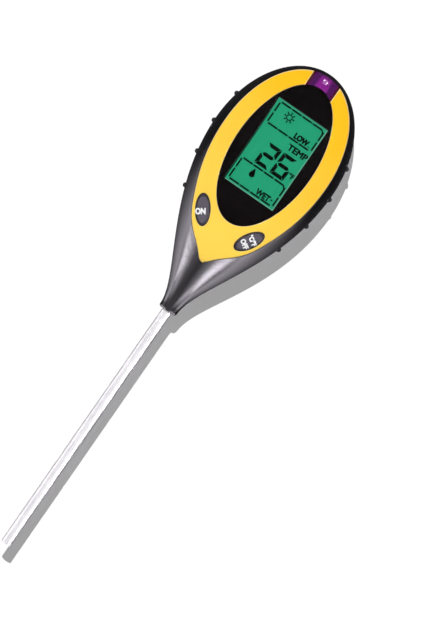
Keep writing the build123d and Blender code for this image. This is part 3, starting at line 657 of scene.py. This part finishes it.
def makeBezel(edge):
    piece = copyNode("face_bezel", "bezel_ring")
    mesh = piece.data
    unmark(mesh)
    walls = [face for face in mesh.polygons if abs(face.normal.z) < edge["upright"]]
    min(walls, key=lambda face: face.center.y).select = True
    editSelected(piece, "faces")
    bpy.ops.mesh.faces_select_linked_flat(sharpness=radians(edge["wallTurn"]))
    bpy.ops.transform.resize(
        value=(edge["seam"], edge["seam"], 1), center_override=(0, edge["middle"] * mm, 0))
    leaveEdit()
    unmark(mesh)
    slopes = {}
    for face in mesh.polygons:
        for key in face.edge_keys:
            slopes.setdefault(key, []).append(face.normal.z)
    for line in mesh.edges:
        facing = sorted(slopes.get(line.key, ()))
        line.select = len(facing) == 2 and abs(facing[0]) < edge["upright"] and facing[1] > edge["level"]
    editSelected(piece, "edges")
    bpy.ops.mesh.bevel(
        offset=edge["ease"] * mm, segments=edge["steps"], affect="EDGES", clamp_overlap=False)
    leaveEdit()
    takeUp(piece)
    bpy.ops.object.shade_smooth_by_angle(angle=radians(edge["smooth"]))
    return piece


bezel = makeBezel(bezelEdge)
finishPiece(bezel, bezelYellow, "housing", "bezel_plastic", "face_bezel")
print("bezel eased:", len(bezel.data.polygons), "faces")


# flat marks: bars with cut ends, rings, drops and words, all laid on Z = 0 and then placed
def flatBar(length, thick, cut=0.0):
    # a bar along X, its lower side shorter by cut at each end
    clearSelection()
    bpy.ops.mesh.primitive_plane_add(size=1)
    piece = settle(bpy.context.object, size=(length, thick, 1))
    if cut:
        unmark(piece.data)
        for corner in piece.data.vertices:
            corner.select = corner.co.y < 0
        editSelected(piece, "vertices")
        bpy.ops.transform.resize(value=(1 - 2 * cut / length, 1, 1), center_override=(0, -thick / 2, 0))
        leaveEdit()
    return piece


def pointedBar(length, thick, point):
    # a bar along X whose corners are cut back by point, so that both ends come nearly to a tip
    clearSelection()
    bpy.ops.mesh.primitive_plane_add(size=1)
    piece = settle(bpy.context.object, size=(length, thick, 1))
    bpy.ops.object.mode_set(mode="EDIT")
    bpy.ops.mesh.select_all(action="SELECT")
    bpy.ops.mesh.bevel(offset=point, affect="VERTICES", segments=1)
    leaveEdit()
    return piece


def flatRing(radius, thick):
    clearSelection()
    bpy.ops.mesh.primitive_circle_add(vertices=roundSteps, radius=radius, fill_type="NGON")
    piece = bpy.context.object
    bpy.ops.object.mode_set(mode="EDIT")
    bpy.ops.mesh.select_all(action="SELECT")
    bpy.ops.mesh.inset(thickness=thick)
    bpy.ops.mesh.delete(type="FACE")
    leaveEdit()
    return piece


def flatDrop(wide, tall, taper):
    # a disc whose upper half is drawn up and made narrower
    clearSelection()
    bpy.ops.mesh.primitive_circle_add(vertices=roundSteps, radius=wide / 2, fill_type="NGON")
    piece = bpy.context.object
    rise = (tall - wide / 2) / (wide / 2)
    for corner in piece.data.vertices:
        if corner.co.y > 0:
            share = corner.co.y / (wide / 2)
            corner.co.x *= 1 - taper * share
            corner.co.y *= 1 + (rise - 1) * share
    return piece


def solidWord(text, wide, tall, depth, weight):
    # a word made bolder by weight, fitted to a width, a height and a depth on Z = 0
    clearSelection()
    bpy.ops.object.text_add()
    piece = bpy.context.object
    piece.data.body = text
    piece.data.bevel_depth = weight
    piece.data.bevel_resolution = 0
    piece.data.resolution_u = 4
    bpy.ops.object.convert(target="MESH")
    piece = bpy.context.object
    corners = [corner.co for corner in piece.data.vertices]
    low = Vector([min(corner[axis] for corner in corners) for axis in range(3)])
    high = Vector([max(corner[axis] for corner in corners) for axis in range(3)])
    settle(piece, (-(low.x + high.x) / 2, -(low.y + high.y) / 2, -low.z))
    span = high - low
    return settle(piece, size=(wide / span.x, tall / span.y, depth / span.z))


# display contents, in mm, placed across the head and along it from where its neck begins to flare
marks = {
    "dash": (4.85, 0.78), "sideDash": (4.3, 0.75),
    "corner": {"long": 1.8, "thick": 0.62, "cut": 0.15, "in": (0.65, 0.7), "turn": 310},
    "boxes": ({"rows": (99.7, 89.25), "columns": (-10.85, 11.65)},
              {"rows": (70.95, 60.6), "columns": (-10.9, 11.55)}),
    "dashes": (-7.95, -2.65, 2.7, 8.05), "sideSpread": 2.55,
    "digit": {"wide": 6.95, "tall": 10.7, "thick": 1.66, "gap": 0.22, "lean": 0.055, "middleIn": 0.9,
              "point": 0.46, "sideCut": 0.78, "sideGaps": 1.5},
    "digits": (("ABGED", -5.85, 72.1), ("AFGECD", 2.0, 72.1)),
    "sun": {"at": (-4.0, 96.15), "radius": 1.45, "thick": 0.50, "rays": 8, "ray": (0.95, 0.60),
            "reach": 2.05},
    "drop": {"at": (-3.45, 65.9), "wide": 2.7, "tall": 4.0, "taper": 0.42},
    "words": (("LOW", 7.25, 2.8, 5.7, 91.3, 0.07), ("TEMP", 9.8, 2.95, 7.4, 85.85, 0.042),
              ("WET", 7.0, 2.85, 5.5, 62.55, 0.055), ("°F", 2.55, 2.5, 10.9, 76.0, 0.045)),
    "signs": ((9.75, 90.4, 0), (9.75, 62.8, 0), (9.75, 62.8, 90)), "sign": (1.2, 0.30),
    "depth": 0.04,
}


def layMark(piece, x, station, turn=0):
    return settle(piece, (x * mm, (station + neckEnd) * mm, 0), turn)


def dashedBox(box):
    made = []
    dash = [value * mm for value in marks["dash"]]
    side = [value * mm for value in marks["sideDash"]]
    for row in box["rows"]:
        for place in marks["dashes"]:
            made.append(layMark(flatBar(*dash), place, row))
    middle = sum(box["rows"]) / 2
    for column in box["columns"]:
        for step in (-1, 1):
            made.append(layMark(flatBar(*side), column, middle + step * marks["sideSpread"], 90))
    corner = marks["corner"]
    turned = flatBar(*[corner[key] * mm for key in ("long", "thick", "cut")])
    place = box["columns"][1] - corner["in"][0], box["rows"][0] - corner["in"][1]
    made.append(layMark(turned, *place, corner["turn"]))
    return made


def segmentDigit(segments, x, station):
    # seven-segment figure: mitred bars round a box, a pointed one across its middle, then leaned over
    form = marks["digit"]
    wide, tall, thick, gap = (form[key] for key in ("wide", "tall", "thick", "gap"))
    half = tall / 2
    made = []
    for segment in segments:
        if segment == "G":
            long = wide - thick * form["middleIn"]
            piece = pointedBar(long * mm, thick * mm, thick * mm * form["point"])
            settle(piece, (wide / 2 * mm, half * mm, 0))
        elif segment in "AD":
            long = wide - 2 * gap
            piece = flatBar(long * mm, thick * mm, thick * mm)
            row = tall - thick / 2 if segment == "A" else thick / 2
            settle(piece, (wide / 2 * mm, row * mm, 0), 0 if segment == "A" else 180)
        else:
            long = half - form["sideGaps"] * gap
            piece = flatBar(long * mm, thick * mm, thick * form["sideCut"] * mm)
            column = thick / 2 if segment in "EF" else wide - thick / 2
            row = half + half / 2 if segment in "BF" else half / 2
            settle(piece, (column * mm, row * mm, 0), 90 if segment in "EF" else -90)
        made.append(piece)
    piece = joinPieces(made, "digit")
    for corner in piece.data.vertices:
        corner.co.x += form["lean"] * corner.co.y
    return layMark(piece, x, station)


def makeDisplayMarks():
    made = []
    for box in marks["boxes"]:
        made += dashedBox(box)
    for digit in marks["digits"]:
        made.append(segmentDigit(*digit))
    sunMark = marks["sun"]
    made.append(layMark(flatRing(sunMark["radius"] * mm, sunMark["thick"] * mm), *sunMark["at"]))
    for step in range(sunMark["rays"]):
        ray = settle(flatBar(*[value * mm for value in sunMark["ray"]]), (sunMark["reach"] * mm, 0, 0))
        made.append(layMark(settle(ray, turn=360 / sunMark["rays"] * step), *sunMark["at"]))
    drop = marks["drop"]
    dropAt = drop["at"][0], drop["at"][1] + drop["wide"] / 2
    made.append(layMark(flatDrop(drop["wide"] * mm, drop["tall"] * mm, drop["taper"]), *dropAt))
    for x, station, turn in marks["signs"]:
        made.append(layMark(flatBar(*[value * mm for value in marks["sign"]]), x, station, turn))
    piece = joinPieces(made, "display_marks")
    thicken(piece, marks["depth"] * mm)
    words = []
    for text, wide, tall, x, station, weight in marks["words"]:
        word = solidWord(text, wide * mm, tall * mm, marks["depth"] * mm, weight)
        words.append(layMark(word, x, station))
    return settle(joinPieces([piece, *words], "display_marks"), (0, 0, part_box("lcd_glass")[1].z))


inkLook = {"dark": (0.0013, 0.0032, 0.0025), "light": (0.0018, 0.0042, 0.0033), "drift": 500, "grain": 3000,
           "rough": (0.5, 0.6), "relief": 0.03, "shine": 0.0}
displayMarks = makeDisplayMarks()
finishPiece(displayMarks, wearMaterial("displayInk", inkLook), "housing", "black_print")
print("display marks:", len(displayMarks.data.polygons), "faces")


# keys: the CAD form with a shallow finger dish, and white print in the dish
keySet = {"level": 0.999, "reach": 0.01, "rim": 0.25, "slope": 0.3, "dish": 0.06, "print": 0.09,
          "bold": 0.075, "smooth": 35}
legends = {
    "on_key": (("ON", 4.6, 3.0, -12.4, 41.7, 34),),
    "off_key": (("°C/°F", 5.0, 2.5, 12.95, 44.05, -33), ("OFF", 4.6, 2.5, 11.0, 40.85, -33)),
}


def makeKey(nodeName, form):
    piece = copyNode(nodeName, nodeName + "_cap")
    mesh = piece.data
    unmark(mesh)
    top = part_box(nodeName)[1].z
    for face in mesh.polygons:
        face.select = face.normal.z > form["level"] and face.center.z > top - form["reach"] * mm
    editSelected(piece, "faces")
    bpy.ops.mesh.inset(thickness=form["rim"] * mm)
    bpy.ops.mesh.inset(thickness=form["slope"] * mm, depth=-form["dish"] * mm)
    leaveEdit()
    takeUp(piece)
    bpy.ops.object.shade_smooth_by_angle(angle=radians(form["smooth"]))
    return piece


def makeLegend(nodeName, words, form):
    made = []
    for text, wide, tall, x, station, turn in words:
        word = solidWord(text, wide * mm, tall * mm, form["print"] * mm, form["bold"])
        made.append(layMark(word, x, station, turn))
    piece = joinPieces(made, nodeName + "_print")
    return settle(piece, (0, 0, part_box(nodeName)[1].z - form["dish"] * mm))


printLook = {"dark": (0.90, 0.90, 0.91), "light": (0.97, 0.97, 0.98), "drift": 900, "grain": 3600,
             "rough": (0.5, 0.62), "relief": 0.05, "shine": 0.3}
keyPrint = wearMaterial("keyPrint", printLook)
for nodeName, words in legends.items():
    finishPiece(makeKey(nodeName, keySet), keyGrey, nodeName, "key_plastic", nodeName)
    finishPiece(makeLegend(nodeName, words, keySet), keyPrint, nodeName, "key_plastic")
print("keys and their print made")


# light sensor: a small domed lens set into the purple window
lensSet = {"at": (0.1, 117.2), "round": 1.5, "rise": 0.85, "foot": 0.7, "steps": 12, "turns": 40,
           "smooth": 50}
lensLook = {"dark": (0.30, 0.026, 0.31), "light": (0.36, 0.030, 0.37), "drift": 500, "grain": 3000,
            "rough": (0.05, 0.09), "relief": 0.01, "shine": 1.0, "coat": 1.0}


def windowLevel(x, y):
    # height of the purple window's upper side, straight below a point
    return nodes["sensor_window"].ray_cast((x, y, cadHigh.z), (0, 0, -1))[1].z


def makeLens(form):
    # the profile from the crown to the foot, turned about the lens's axis
    radius, rise = form["round"], form["rise"]
    reach = acos(1 - rise / radius)
    angles = [reach * step / form["steps"] for step in range(form["steps"] + 1)]
    line = [(radius * sin(angle), 0, radius * cos(angle) - radius + rise) for angle in angles]
    line.append((line[-1][0], 0, -form["foot"]))
    mesh = bpy.data.meshes.new("sensor_lens")
    mesh.from_pydata([[value * mm for value in point] for point in line],
                     [(step, step + 1) for step in range(len(line) - 1)], [])
    piece = bpy.data.objects.new("sensor_lens", mesh)
    scene.collection.objects.link(piece)
    editSelected(piece, "edges")
    bpy.ops.mesh.select_all(action="SELECT")
    bpy.ops.mesh.spin(steps=form["turns"], angle=radians(360), center=(0, 0, 0), axis=(0, 0, 1))
    bpy.ops.mesh.select_all(action="SELECT")
    bpy.ops.mesh.remove_doubles(threshold=mergeGap)
    bpy.ops.mesh.select_all(action="DESELECT")
    bpy.ops.mesh.select_non_manifold()
    bpy.ops.mesh.edge_face_add()
    bpy.ops.mesh.select_all(action="SELECT")
    bpy.ops.mesh.normals_make_consistent(inside=False)
    leaveEdit()
    bpy.ops.object.shade_smooth_by_angle(angle=radians(form["smooth"]))
    x, y = form["at"][0] * mm, (form["at"][1] + neckEnd) * mm
    return settle(piece, (x, y, windowLevel(x, y)))


lens = makeLens(lensSet)
finishPiece(lens, wearMaterial("lensPurple", lensLook), "housing", "purple_plastic")
print("lens made:", len(lens.data.polygons), "faces")
